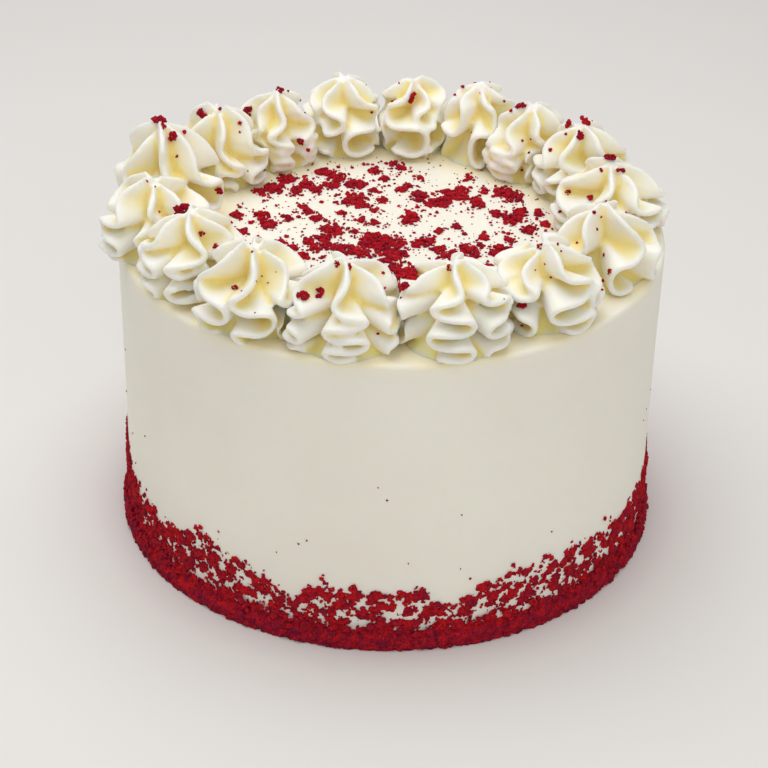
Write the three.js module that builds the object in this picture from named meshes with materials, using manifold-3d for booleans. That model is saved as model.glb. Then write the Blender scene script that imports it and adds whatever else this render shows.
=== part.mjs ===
// Red velvet cake: an iced round cake with a ring of ruffled piped dollops round
// its rim, a thick band of cake crumbs at its foot and crumbs scattered on its top.
// Millimetres, +Z up, origin at the centre of the base.

import * as THREE from 'three';
import Module from 'manifold-3d';

const wasm = await Module();
wasm.setup();

// ---- Driving dimensions -------------------------------------------------

const WALL_RADIUS = 110;         // outside of the icing on the side wall
const CAKE_HEIGHT = 128;         // base to the flat iced top
const TOP_EDGE_ROUND = 2;        // small radius where the wall meets the top
const WALL_SIDES = 96;           // facets round the wall

const BAND_SOLID_HEIGHT = 13;    // crumbs cover the wall fully up to here
const BAND_TOP_HEIGHT = 28;      // mean height that the crumb patches reach
const BAND_SCALLOP = 4;          // how far that ragged top edge rises and falls
const BAND_THICKNESS = 3.6;      // how far the crumb layer stands off the wall
const BAND_ROUGHNESS = 1.1;      // lumpiness of that layer

const FOOT_CRUMB_COUNT = 66;     // fused crumb clusters in the patchy part of the band
const FOOT_CRUMB_RADIUS = [2.2, 4.2];
const TOP_CRUMB_RADIUS = [1.8, 4.0];
const TOP_CRUMBS_PER_PATCH = 2;
const CRUMB_FLATTEN = 0.6;       // a crumb is this much lower than it is wide
const CRUMB_SINK = 0.35;         // share of a crumb's radius that is pressed in
const TOP_CRUMB_LIMIT = 53;      // crumbs on the top stay inside this radius

const FINS = 6;                  // ribs that the star nozzle leaves on a dollop
const DOLLOP_GAP = 0.3;          // air under a dollop and between neighbours
const LIP_HALF_WIDTH = 1.7;      // half the thickness of a rib at its edge
const PEAK_DRIFT = 0.45;         // how fast ribs go on swinging above the folds, against below
const SWING_DELAY = 1.0;         // how far ribs of one dollop are out of step, radians
const FOLD_LEVELS = 8;           // section levels in the ruffles
const PEAK_LEVELS = 5;           // section levels above them
const TIP_RADIUS = 0.9;          // blunt end of the peak

// Each dollop as piped by hand: bearing in degrees from +X, distance of its middle
// from the cake's axis, its own radius, its height, how far its ribs are turned, the
// folds in each rib, how far a fold swings to each side, the point in a swing at which
// the ribs start in degrees, the share of the height that is folded, and how far the
// peak leans outward.
const DOLLOPS = [
  { bearing: 2, ring: 88, radius: 21.5, height: 30, turn: 12,
    folds: 1.5, swing: 8.5, start: 72, roof: 0.56, lean: -1 },
  { bearing: 24, ring: 85, radius: 20.5, height: 32, turn: 40,
    folds: 1.7, swing: 8, start: 240, roof: 0.55, lean: -1.5 },
  { bearing: 43.5, ring: 79, radius: 18.5, height: 32, turn: 5,
    folds: 2.1, swing: 7, start: 30, roof: 0.5, lean: 0.5 },
  { bearing: 62.5, ring: 79, radius: 18.5, height: 33, turn: 27,
    folds: 1, swing: 8.5, start: 162, roof: 0.85, lean: 0 },
  { bearing: 84, ring: 79, radius: 19, height: 33, turn: 50,
    folds: 1.15, swing: 9, start: 300, roof: 0.78, lean: 0 },
  { bearing: 106, ring: 80, radius: 19.5, height: 32, turn: 18,
    folds: 1.2, swing: 9, start: 108, roof: 0.7, lean: 0 },
  { bearing: 129, ring: 80, radius: 19, height: 32, turn: 33,
    folds: 2.3, swing: 5.5, start: 198, roof: 0.5, lean: -1 },
  { bearing: 150, ring: 83, radius: 19.5, height: 33, turn: 8,
    folds: 1.3, swing: 6.5, start: 48, roof: 0.45, lean: 1.5 },
  { bearing: 172, ring: 90, radius: 22, height: 39, turn: 44,
    folds: 0.9, swing: 8, start: 264, roof: 0.5, lean: 5 },
  { bearing: 195, ring: 95, radius: 21.5, height: 33, turn: 22,
    folds: 1.9, swing: 8.5, start: 132, roof: 0.6, lean: 1 },
  { bearing: 215, ring: 92, radius: 21, height: 33, turn: 0,
    folds: 2.1, swing: 8.5, start: 0, roof: 0.6, lean: 1 },
  { bearing: 237, ring: 91.5, radius: 23, height: 34, turn: 40,
    folds: 1.4, swing: 9, start: 180, roof: 0.62, lean: 1 },
  { bearing: 260, ring: 91, radius: 24, height: 34, turn: 20,
    folds: 2.4, swing: 8, start: 84, roof: 0.6, lean: 0.5 },
  { bearing: 284.5, ring: 91, radius: 24, height: 34, turn: 36,
    folds: 2.4, swing: 8, start: 216, roof: 0.76, lean: 1 },
  { bearing: 309, ring: 88, radius: 22.5, height: 31, turn: 52,
    folds: 1.6, swing: 9, start: 312, roof: 0.7, lean: 1 },
  { bearing: 336, ring: 88, radius: 22.5, height: 31, turn: 20,
    folds: 0.8, swing: 8, start: 120, roof: 0.55, lean: 0.5 },
];

// Crumb patches on the iced top seen from above: [x, y, spread].
const TOP_PATCHES = [
  [-45, 36, 7], [-42, 26, 5], [-27, 40, 8], [-14, 32, 5], [-3, 49, 6], [3, 35, 5],
  [11, 28, 6], [25, 30, 8], [47, 31, 7], [52, 9, 6], [-51, 5, 5], [-33, 11, 5],
  [-25, -4, 6], [-34, -19, 6], [-8, -12, 8], [3, -13, 6], [12, -15, 6], [6, -44, 6],
  [26, -21, 6], [41, -14, 7], [25, 1, 5], [7, 8, 4],
];

// ---- Small helpers ------------------------------------------------------

const radians = THREE.MathUtils.degToRad;
const lerp = THREE.MathUtils.lerp;

const smoothstep = (from, to, value) => THREE.MathUtils.smoothstep(value, from, to);

// Seeded draws between 0 and 1, so that every build gives the same cake.
function seededDraws(seed) {
  let state = seed >>> 0;
  return () => {
    state = (state + 0x6d2b79f5) >>> 0;
    let mixed = Math.imul(state ^ (state >>> 15), state | 1);
    mixed ^= mixed + Math.imul(mixed ^ (mixed >>> 7), mixed | 61);
    return ((mixed ^ (mixed >>> 14)) >>> 0) / 4294967296;
  };
}

// Closed skin over a stack of rings, all with the same number of points and going
// anticlockwise seen from above, with a fan over each end.
function skinOverRings(rings) {
  const around = rings[0].length;
  const points = rings.flat();
  const faces = [];
  for (let level = 0; level < rings.length - 1; level += 1) {
    for (let side = 0; side < around; side += 1) {
      const next = (side + 1) % around;
      const low = level * around;
      const high = low + around;
      faces.push(low + side, low + next, high + next);
      faces.push(low + side, high + next, high + side);
    }
  }
  const middleOf = (ring) => ring.reduce((sum, p) => sum.add(p), new THREE.Vector3()).divideScalar(around);
  const bottom = points.push(middleOf(rings[0])) - 1;
  const top = points.push(middleOf(rings[rings.length - 1])) - 1;
  const lastRing = (rings.length - 1) * around;
  for (let side = 0; side < around; side += 1) {
    const next = (side + 1) % around;
    faces.push(bottom, next, side);
    faces.push(top, lastRing + side, lastRing + next);
  }
  const geometry = new THREE.BufferGeometry().setFromPoints(points);
  geometry.setIndex(faces);
  return geometry;
}

function toSolid(geometry) {
  return new wasm.Manifold(new wasm.Mesh({
    numProp: 3,
    vertProperties: new Float32Array(geometry.attributes.position.array),
    triVerts: new Uint32Array(geometry.index.array),
  }));
}

function toGeometry(solid) {
  const mesh = solid.getMesh();
  const geometry = new THREE.BufferGeometry();
  geometry.setAttribute('position', new THREE.BufferAttribute(new Float32Array(mesh.vertProperties), 3));
  geometry.setIndex(new THREE.BufferAttribute(new Uint32Array(mesh.triVerts), 1));
  return geometry;
}

// ---- Iced cake with its crumbs ------------------------------------------

// Height of the ragged upper edge of the crumb band at one bearing.
function bandTopAt(angle) {
  const wave = Math.sin(7 * angle + 1.3) + 0.6 * Math.sin(13 * angle + 4.1) + 0.4 * Math.sin(23 * angle);
  return BAND_TOP_HEIGHT + BAND_SCALLOP * wave * 0.5;
}

function icedBody() {
  const draw = seededDraws(11);
  const bandLevels = [0, 0.2, 0.42, 0.65, 0.85].map((share) => share * BAND_SOLID_HEIGHT);
  const rings = bandLevels.map((height) => {
    const fullness = 1 - 0.45 * smoothstep(BAND_SOLID_HEIGHT * 0.4, BAND_SOLID_HEIGHT, height);
    return Array.from({ length: WALL_SIDES }, (_, side) => {
      const angle = (2 * Math.PI * side) / WALL_SIDES;
      const lump = BAND_ROUGHNESS * (2 * draw() - 1);
      const reach = WALL_RADIUS + BAND_THICKNESS * fullness + (height > 0 ? lump : -1);
      return new THREE.Vector3(reach * Math.cos(angle), reach * Math.sin(angle), height);
    });
  });
  const wall = [
    [WALL_RADIUS, BAND_SOLID_HEIGHT],
    [WALL_RADIUS, CAKE_HEIGHT - TOP_EDGE_ROUND],
    [WALL_RADIUS - TOP_EDGE_ROUND * 0.3, CAKE_HEIGHT - TOP_EDGE_ROUND * 0.3],
    [WALL_RADIUS - TOP_EDGE_ROUND, CAKE_HEIGHT],
  ];
  for (const [reach, height] of wall) {
    rings.push(Array.from({ length: WALL_SIDES }, (_, side) => {
      const angle = (2 * Math.PI * side) / WALL_SIDES;
      return new THREE.Vector3(reach * Math.cos(angle), reach * Math.sin(angle), height);
    }));
  }
  return toSolid(skinOverRings(rings));
}

// One lumpy crumb cluster, flat along its own Z, ready to be pressed on a surface.
function crumb(radius, draw) {
  const geometry = new THREE.IcosahedronGeometry(radius, 0);
  const corners = new Map();
  const position = geometry.attributes.position;
  const points = [];
  const faces = [];
  for (let i = 0; i < position.count; i += 1) {
    const corner = new THREE.Vector3().fromBufferAttribute(position, i);
    const key = corner.toArray().map((value) => value.toFixed(3)).join();
    if (!corners.has(key)) {
      const lump = corner.multiplyScalar(0.75 + 0.5 * draw());
      lump.z *= CRUMB_FLATTEN;
      corners.set(key, points.push(lump) - 1);
    }
    faces.push(corners.get(key));
  }
  const shape = new THREE.BufferGeometry().setFromPoints(points);
  shape.setIndex(faces);
  return shape;
}

// Crumb clusters spread evenly round the wall, in the patchy part of the band.
function footCrumbs() {
  const draw = seededDraws(23);
  const crumbs = [];
  for (let i = 0; i < FOOT_CRUMB_COUNT; i += 1) {
    const angle = (2 * Math.PI * (i + 0.6 * draw())) / FOOT_CRUMB_COUNT;
    const radius = lerp(FOOT_CRUMB_RADIUS[1], FOOT_CRUMB_RADIUS[0], (i % 3) * 0.35 + 0.3 * draw());
    const height = lerp(BAND_SOLID_HEIGHT + 1, bandTopAt(angle) - radius, ((i * 5) % 7) / 6);
    const shape = crumb(radius, draw);
    shape.rotateY(Math.PI / 2);
    shape.translate(WALL_RADIUS + radius * CRUMB_FLATTEN * (1 - 2 * CRUMB_SINK), 0, height);
    shape.rotateZ(angle);
    crumbs.push(toSolid(shape));
  }
  return crumbs;
}

function topCrumbs() {
  const draw = seededDraws(37);
  const crumbs = [];
  for (const [x, y, spread] of TOP_PATCHES) {
    for (let i = 0; i < TOP_CRUMBS_PER_PATCH; i += 1) {
      const radius = lerp(TOP_CRUMB_RADIUS[1], TOP_CRUMB_RADIUS[0], i / (TOP_CRUMBS_PER_PATCH - 1));
      const bearing = 2 * Math.PI * draw();
      const place = new THREE.Vector2(x, y);
      place.add(new THREE.Vector2(Math.cos(bearing), Math.sin(bearing)).multiplyScalar(0.9 * spread * i));
      place.clampLength(0, TOP_CRUMB_LIMIT);
      const shape = crumb(radius, draw);
      shape.translate(place.x, place.y, CAKE_HEIGHT + radius * CRUMB_FLATTEN * (1 - 2 * CRUMB_SINK));
      crumbs.push(toSolid(shape));
    }
  }
  return crumbs;
}

function cakeGeometry() {
  let solid = icedBody();
  for (const lump of [...footCrumbs(), ...topCrumbs()]) {
    solid = solid.add(lump);
  }
  return toGeometry(solid);
}

// ---- Ruffled dollops ----------------------------------------------------

// Reach of a rib's edge over the dollop's radius: full low down, then drawn in
// along a bulging curve to the peak.
function reachAt(rise) {
  const shoulder = 0.2;
  if (rise < shoulder) {
    return 0.82 + 0.18 * Math.sin((Math.PI / 2) * (rise / shoulder)) ** 0.6;
  }
  return (1 - ((rise - shoulder) / (1 - shoulder)) ** 2.2) ** 0.7;
}

// Edge of one rib: its angle and reach at a share of the dollop's height.
function ribEdge(dollop, index, fin) {
  const draw = seededDraws(index * 101 + fin * 17 + 5);
  const folds = dollop.folds * (0.92 + 0.16 * draw());
  const delay = SWING_DELAY * (draw() - 0.5);
  const width = dollop.swing * (0.8 + 0.4 * draw());
  const size = 0.94 + 0.1 * draw();
  const offset = 0.22 * (draw() - 0.5);
  return (rise) => {
    const climbed = rise / dollop.roof;
    const swings = climbed < 1 ? climbed : 1 + PEAK_DRIFT * (climbed - 1);
    const phase = radians(dollop.start) + delay + 2 * Math.PI * folds * swings;
    const swaying = (1 - smoothstep(dollop.roof * 0.8, 1, rise)) * (0.4 + 0.6 * smoothstep(0, 0.15, rise));
    const sway = (width * swaying * Math.sin(phase)) / dollop.radius;
    return {
      angle: radians(dollop.turn) + (2 * Math.PI * fin) / FINS + offset + sway,
      reach: Math.max(TIP_RADIUS, dollop.radius * size * reachAt(rise)),
    };
  };
}

// Squeezes a point of a dollop into its own share of the ring, so that neighbours
// press against each other without touching.
function pressIntoRing(point, dollop) {
  const along = Math.atan2(point.y, point.x);
  const reach = Math.hypot(point.x, point.y);
  const room = (along < 0 ? dollop.roomBefore : dollop.roomAfter) - DOLLOP_GAP / reach;
  const share = Math.abs(along) / room;
  const soft = 0.72;
  const squeezed = share < soft ? share : soft + (1 - soft) * Math.tanh((share - soft) / (1 - soft));
  const angle = radians(dollop.bearing) + Math.sign(along) * squeezed * room;
  return new THREE.Vector3(reach * Math.cos(angle), reach * Math.sin(angle), point.z);
}

function dollopGeometry(dollop, index) {
  const ribs = Array.from({ length: FINS }, (_, fin) => ribEdge(dollop, index, fin));
  const rises = [];
  for (let level = 0; level < FOLD_LEVELS; level += 1) {
    rises.push((dollop.roof * level) / FOLD_LEVELS);
  }
  for (let level = 0; level < PEAK_LEVELS; level += 1) {
    rises.push(lerp(dollop.roof, 1, level / (PEAK_LEVELS - 1)));
  }
  const rings = rises.map((rise) => {
    const edges = ribs.map((rib) => rib(rise));
    const ring = [];
    edges.forEach(({ angle, reach }, fin) => {
      const after = edges[(fin + 1) % FINS];
      const afterAngle = after.angle + (fin === FINS - 1 ? 2 * Math.PI : 0);
      const half = Math.min(LIP_HALF_WIDTH, reach * 0.3) / reach;
      const valley = lerp(0.66, 0.42, smoothstep(0.2, 0.7, rise)) * reach;
      const valleyAngle = (angle + afterAngle) / 2;
      ring.push([angle - half, reach], [angle + half, reach], [valleyAngle, valley]);
    });
    return ring.map(([angle, reach]) => pressIntoRing(new THREE.Vector3(
      dollop.ring + dollop.lean * rise ** 2 + reach * Math.cos(angle),
      reach * Math.sin(angle),
      CAKE_HEIGHT + DOLLOP_GAP + dollop.height * rise,
    ), dollop));
  });
  return skinOverRings(rings);
}

// Angle from each dollop to the plane it shares with a neighbour: the wider of
// the two takes more of the space between their middles.
function shareRing(dollops) {
  return dollops.map((dollop, index) => {
    const room = (other) => {
      const apart = Math.abs(((other.bearing - dollop.bearing + 540) % 360) - 180);
      return radians((apart * dollop.radius) / (dollop.radius + other.radius));
    };
    const before = dollops[(index + dollops.length - 1) % dollops.length];
    const after = dollops[(index + 1) % dollops.length];
    return { ...dollop, roomBefore: room(before), roomAfter: room(after) };
  });
}

// ---- Assembly -----------------------------------------------------------

const icing = new THREE.MeshStandardMaterial({ color: 0xf4eee0, roughness: 0.45, metalness: 0 });
const cream = new THREE.MeshStandardMaterial({ color: 0xf3ead0, roughness: 0.42, metalness: 0 });

const part = new THREE.Group();

const cake = new THREE.Mesh(cakeGeometry(), icing);
cake.name = 'cake';
part.add(cake);

shareRing(DOLLOPS).forEach((dollop, index) => {
  const mesh = new THREE.Mesh(dollopGeometry(dollop, index + 1), cream);
  mesh.name = `dollop_${String(index + 1).padStart(2, '0')}`;
  part.add(mesh);
});

export default part;
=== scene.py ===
"""Red velvet cake: smooth icing, a ring of ruffled piped dollops and red cake crumbs."""

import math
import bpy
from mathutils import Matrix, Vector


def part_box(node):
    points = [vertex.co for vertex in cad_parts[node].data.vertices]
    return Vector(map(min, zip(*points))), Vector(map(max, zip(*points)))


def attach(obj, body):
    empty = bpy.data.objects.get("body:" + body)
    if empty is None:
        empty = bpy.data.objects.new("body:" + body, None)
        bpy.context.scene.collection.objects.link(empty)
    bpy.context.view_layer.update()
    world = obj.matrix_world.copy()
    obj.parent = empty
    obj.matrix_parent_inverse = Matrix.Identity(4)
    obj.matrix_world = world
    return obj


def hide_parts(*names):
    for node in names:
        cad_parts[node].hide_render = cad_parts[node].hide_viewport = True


bl_info = {
    "name": "Red velvet cake",
    "version": (1, 0, 0),
    "blender": (4, 5, 0),
    "location": "3D View > Sidebar > Cake",
    "description": "Ices a round cake, pipes a ring of ruffled dollops on it and scatters cake crumbs",
    "category": "Object",
}

from collections import namedtuple

import bmesh
import bpy
import numpy as np
from bpy.props import FloatProperty, FloatVectorProperty, IntProperty, PointerProperty
from bpy.types import Operator, Panel, PropertyGroup
from mathutils import Matrix, Vector, noise
from mathutils.bvhtree import BVHTree

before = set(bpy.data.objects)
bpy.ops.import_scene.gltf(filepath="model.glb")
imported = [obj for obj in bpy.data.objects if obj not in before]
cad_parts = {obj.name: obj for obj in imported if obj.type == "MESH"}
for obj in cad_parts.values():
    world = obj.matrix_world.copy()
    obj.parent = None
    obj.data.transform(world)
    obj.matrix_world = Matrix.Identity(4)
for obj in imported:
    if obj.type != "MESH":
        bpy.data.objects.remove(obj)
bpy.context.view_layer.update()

MM = 0.001                 # one millimetre in metres
BODY = "root"              # the cake is one rigid body
DOLLOP_GAP = 0.3           # air between neighbours, and under each dollop's solid, mm
CAKE_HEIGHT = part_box("dollop_01")[0].z / MM - DOLLOP_GAP
DOLLOP_SINK = 0.5          # how far a dollop settles into the icing, mm
WALL_RADIUS = 110.0        # outside of the icing on the side wall, mm
RIBS = 6                   # ribs that the star nozzle leaves on a dollop
PEAK_DRIFT = 0.45          # how fast ribs go on swinging above the folds, against below
UP = (0.0, 0.0, 1.0)
DOWN = (0.0, 0.0, -1.0)

# The viewpoint in front of the cake, which also places the crumbs on the dollops.
VIEW_WIDTH = 768.0         # the view is square and counted in 768ths of its width
FOCAL_LENGTH = 2115.0      # distance from the eye to the picture plane, in the same 768ths
EYE_RISE = 34.32           # how far the eye looks down, degrees
EYE_AWAY = 8.389           # from the middle of the cake's foot to the eye, in wall radii
EYE_AIM = (-0.016, 0.0, 0.482)  # spot that the view is centred on, in wall radii
EYE_ROLL = 1.23            # tilt of the view, degrees

# Each dollop as it was piped: bearing of its middle in degrees from +X, distance from the
# cake's axis, radius and height in mm, turn of its ribs in degrees, folds in each rib, how
# far a fold swings to each side in mm, the point in a swing at which the ribs start in
# degrees, the share of the height that is folded, how far the rib ends stand apart at the
# peak in mm, how much thicker a rib grows towards the middle near the peak in mm, and how
# far the peak leans outward in mm.
Dollop = namedtuple("Dollop", "bearing ring radius height turn folds swing start roof split flank lean")
DOLLOPS = (
    Dollop(2, 88, 21.5, 30, 12, 1.5, 8.5, 72, 0.56, 2.5, 1.32, -1),
    Dollop(24, 85, 20.5, 32, 40, 1.7, 8, 240, 0.55, 2.5, 1.26, -1.5),
    Dollop(43.5, 79, 18.5, 32, 5, 2.1, 7, 30, 0.5, 3, 1.21, 0.5),
    Dollop(62.5, 79, 18.5, 33, 27, 1, 8.5, 162, 0.85, 1.5, 1.32, 0),
    Dollop(84, 79, 19, 33, 50, 1.15, 10, 300, 0.78, 3, 1.32, 0),
    Dollop(106, 80, 19.5, 32, 18, 1.2, 10, 108, 0.7, 3, 1.21, 0),
    Dollop(129, 80, 19, 32, 33, 2.3, 5.5, 198, 0.5, 2.2, 1.21, -1),
    Dollop(150, 83, 19.5, 33, 8, 1.3, 6.5, 48, 0.45, 4, 1.54, 1.5),
    Dollop(172, 90, 22, 39, 44, 0.9, 8, 264, 0.5, 2, 1.65, 5),
    Dollop(195, 95, 21.5, 33, 22, 1.9, 8.5, 132, 0.6, 3, 1.21, 1),
    Dollop(215, 92, 21, 33, 0, 2.1, 8.5, 0, 0.6, 3, 1.21, 1),
    Dollop(237, 91.5, 23, 34, 40, 1.4, 10.5, 180, 0.62, 4.5, 1.32, 1),
    Dollop(260, 91, 24, 34, 20, 2.4, 8, 84, 0.6, 2.5, 1.21, 0.5),
    Dollop(284.5, 91, 24, 34, 36, 2.4, 8, 216, 0.76, 3, 1.1, 1),
    Dollop(309, 88, 22.5, 31, 52, 1.6, 10.5, 312, 0.7, 2.5, 1.21, 1),
    Dollop(336, 88, 22.5, 31, 20, 0.8, 8, 120, 0.55, 2.5, 1.65, 0.5),
)

# Crumb patches on the iced top, seen from above: x, y and radius in mm.
TOP_PATCHES = (
    (-49, 31, 3.3), (-45, 40, 2.7), (-55, 28, 1.5), (-36, 36, 2.3), (-32, 31, 1.9), (-40, 30, 1.9),
    (-29, 48, 2.3), (-23, 43, 2.9), (-26, 35, 2.4), (-18, 37, 1.7), (-14, 36, 2.3), (-15, 23, 3.4),
    (-13, 18, 2.1), (-19, 20, 1.3), (-4, 22, 1.9), (-8, 51, 1.7), (0, 57, 1.3), (3, 53, 1.5),
    (-3, 43, 1.3), (3, 33, 1.7), (7, 36, 1.3), (11, 26, 3.1), (14, 20, 1.3), (20, 22, 3.6),
    (24, 29, 3.2), (29, 34, 1.9), (29, 27, 2.1), (35, 21, 2.5), (38, 33, 1.3), (46, 32, 2.7),
    (50, 28, 2.9), (43, 12, 2.1), (49, 8, 3.2), (53, 14, 2.5), (55, -1, 2.3), (60, 14, 1.5),
    (62, 4, 1.4), (8, 8, 3.2), (6, 4, 1.7), (26, 0, 1.3), (19, -4, 1.3), (-53, 6, 2.5),
    (-50, -2, 2.5), (-42, 4, 1.4), (-63, 6, 1.8), (-61, -9, 2.2), (-35, 11, 1.9), (-31, 5, 1.9),
    (-37, 15, 1.1), (-24, -4, 2.7), (-22, -7, 1.7), (-27, -12, 2.1), (-33, -16, 1.7),
    (-44, -18, 2.1), (-40, -22, 1.9), (-35, -28, 2.3), (-7, 2, 1.3), (-12, 4, 1.1), (-6, -13, 4.6),
    (-2, -19, 4.6), (-9, -15, 3.4), (3, -14, 2.1), (-18, -21, 2.5), (-14, -23, 1.9),
    (-11, -25, 1.5), (3, -25, 2.5), (0, -29, 1.7), (-4, -31, 1.5), (2, -37, 2.5), (7, -45, 4.2),
    (4, -51, 2.5), (13, -14, 2.3), (10, -17, 1.3), (16, -12, 1.3), (19, -21, 1.9), (24, -25, 2.7),
    (31, -22, 2.9), (29, -18, 1.7), (37, -9, 1.5), (36, -16, 1.1), (43, -19, 2.3), (47, -11, 1.9),
    (41, -22, 1.5), (-26, -18, 1.7), (-30, -21, 1.5), (-22, -21, 1.3), (39, -33, 1), (-8, 31, 1.3),
    (-7, 13, 1), (-21, 10, 0.8), (-15, -6, 1), (11, 45, 0.8), (32, 45, 0.9), (-26, -38, 2.2),
    (-18, -44, 2.8), (-12, -39, 1.6), (-22, -50, 1.8), (20, -38, 2.4), (16, -49, 1.9),
    (28, -44, 2.6), (-33, -42, 1.6), (33, -36, 1.8), (-6, -52, 1.5), (41, -38, 1.4),
)

# Height that the crumbs reach on the wall at some bearings: degrees, mm.
BAND_TOPS = (
    (0, 30), (20, 26), (45, 31), (70, 24), (90, 29), (115, 25), (140, 32), (165, 28), (188, 36),
    (197, 28), (214, 26), (224, 30), (231, 36), (240, 28), (246, 24), (251, 20), (257, 28),
    (270, 26), (278, 28), (282, 19), (287, 22), (295, 29), (305, 29), (322, 28), (333, 26), (352, 31),
)

# Crumbs that lie on the dollops, as a viewer in front sees them: across, down and width in
# 768ths of the view.
CREAM_FLECKS = (
    (158, 117, 11), (163, 126, 6), (173, 136, 9), (184, 132, 5), (177, 156, 4), (203, 113, 9),
    (220, 109, 5), (248, 113, 9), (240, 123, 5), (240, 132, 4), (280, 89, 8), (288, 91, 4),
    (305, 113, 4), (301, 141, 7), (308, 150, 5), (147, 181, 4), (155, 187, 3), (182, 211, 14),
    (159, 212, 4), (220, 190, 7), (201, 233, 6), (216, 247, 6), (140, 273, 2), (235, 288, 6),
    (242, 291, 3), (252, 252, 4), (256, 281, 3), (262, 276, 3), (268, 283, 3), (255, 313, 3),
    (276, 272, 2), (336, 264, 6), (349, 267, 6), (303, 297, 10), (319, 293, 9), (383, 273, 5),
    (384, 288, 5), (378, 334, 4), (372, 112, 4), (366, 83, 2), (264, 170, 4), (248, 171, 3),
    (300, 100, 3), (399, 81, 3), (411, 97, 9), (455, 89, 4), (480, 93, 2), (504, 101, 4),
    (521, 107, 9), (511, 111, 5), (522, 141, 4), (531, 139, 3), (550, 150, 5), (522, 170, 4),
    (570, 124, 8), (584, 122, 9), (580, 136, 9), (566, 134, 4), (610, 159, 9), (620, 171, 7),
    (601, 170, 5), (568, 193, 6), (591, 199, 7), (606, 201, 4), (594, 212, 5), (601, 217, 4),
    (597, 229, 4), (626, 213, 5), (560, 212, 5), (540, 247, 6), (558, 244, 4), (561, 251, 3),
    (577, 243, 4), (545, 264, 3), (535, 270, 3), (551, 277, 4), (604, 255, 5), (610, 272, 6),
    (602, 281, 5), (602, 290, 5), (522, 306, 8), (522, 326, 4), (504, 299, 2), (450, 268, 6),
    (384, 288, 5), (401, 298, 4), (410, 277, 16), (414, 268, 9), (405, 287, 9), (126, 279, 5),
)


# ---- Sizes and colours ------------------------------------------------------


def length(name, description, default):
    return FloatProperty(name=name, description=description, default=default, min=0.0, unit="LENGTH")


def colour(name, description, default):
    return FloatVectorProperty(
        name=name, description=description, default=default, subtype="COLOR", size=3, min=0.0, max=1.0
    )


class CakeSizes(PropertyGroup):
    wall_radius: length("Wall radius", "Outside of the icing on the side wall", WALL_RADIUS * MM)
    cake_height: length("Cake height", "From the base to the flat iced top", CAKE_HEIGHT * MM)
    edge_round: length("Edge round", "Radius where the wall meets the top", 0.002)
    unevenness: length("Unevenness", "How far the spatula leaves the icing from true", 0.00025)


class DollopSizes(PropertyGroup):
    grain: length("Surface grain", "Spacing of the points on a dollop's surface", 0.0009)
    lip: length("Lip", "Half the thickness of a rib at its edge", 0.0012)
    overlap: FloatProperty(
        name="Overlap", description="How far each fold leans over the next one down",
        default=0.8, min=0.0, max=1.2, subtype="FACTOR",
    )
    delay: FloatProperty(
        name="Delay", description="How far the ribs of one dollop are out of step",
        default=math.radians(57.3), min=0.0, subtype="ANGLE",
    )


class CrumbSizes(PropertyGroup):
    band_height: length("Band height", "Height up to which crumbs cover the wall fully", 0.0098)
    band_thickness: length("Band thickness", "How far the crumb layer stands off the wall", 0.0034)
    top_limit: length("Top limit", "Loose crumbs on the top stay inside this radius", 0.066)
    foot_count: IntProperty(
        name="Foot crumbs", description="Loose crumbs tried on the wall above the band",
        default=6500, min=0,
    )
    band_count: IntProperty(
        name="Band crumbs", description="Crumbs that stand out of the solid band",
        default=1300, min=0,
    )
    top_count: IntProperty(
        name="Loose top crumbs", description="Single crumbs strewn between the patches",
        default=700, min=0,
    )
    dollop_count: IntProperty(
        name="Loose dollop crumbs", description="Crumbs tried on the dollops of the far side",
        default=150, min=0,
    )
    wall_count: IntProperty(
        name="Wall flecks", description="Stray crumbs on the smooth wall",
        default=46, min=0,
    )


class CakeColours(PropertyGroup):
    icing: colour("Icing", "Smooth icing on the wall and the top", (0.93, 0.895, 0.79))
    # Painted warm shade on the icing beside and under the dollops: a yellow cast that stands in for
    # their shadow and the light they bounce.
    painted_icing_shade: colour("Sheltered icing", "Icing close to the dollops", (1.0, 0.9, 0.64))
    cream: colour("Piped cream", "Dollops on their ridges", (0.92, 0.9, 0.83))
    # Painted warm shade deep in the dollops' folds, against their neighbours and at their foot: a yellow
    # cast that stands in for shadow and bounced light.
    painted_fold_shade: colour("Cream hollows", "Dollops deep in their folds", (0.97, 0.81, 0.32))
    crumb_bright: colour("Bright crumb", "Crumbs that catch the light", (0.6, 0.012, 0.016))
    # Dark end of the crumbs' random tone; low on the band it also gives the painted shade near the
    # floor.
    crumb_dark: colour("Dark crumb", "Crumbs that are moist with icing", (0.2, 0.010, 0.038))
    floor: colour("Floor", "Surface that the cake stands on", (0.80, 0.78, 0.76))


class StageSizes(PropertyGroup):
    key_power: FloatProperty(name="Key", description="Soft light overhead", default=7.6, unit="POWER")
    fill_power: FloatProperty(name="Fill", description="Soft light in front", default=3.0, unit="POWER")
    sky: FloatProperty(name="Surroundings", description="Even light from all round", default=0.47)


# ---- Small helpers ----------------------------------------------------------


def seeded_draws(seed):
    """Draws between 0 and 1 that are the same in every run."""
    state = seed & 0xFFFFFFFF

    def draw():
        nonlocal state
        state = (state + 0x6D2B79F5) & 0xFFFFFFFF
        mixed = ((state ^ (state >> 15)) * (state | 1)) & 0xFFFFFFFF
        mixed ^= (mixed + (((mixed ^ (mixed >> 7)) * (mixed | 61)) & 0xFFFFFFFF)) & 0xFFFFFFFF
        return ((mixed ^ (mixed >> 14)) & 0xFFFFFFFF) / 4294967296.0

    return draw


def smoothstep(low, high, value):
    share = np.clip((value - low) / (high - low), 0.0, 1.0)
    return share * share * (3.0 - 2.0 * share)


def unit(vectors):
    return vectors / np.maximum(np.linalg.norm(vectors, axis=-1, keepdims=True), 1e-9)


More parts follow.
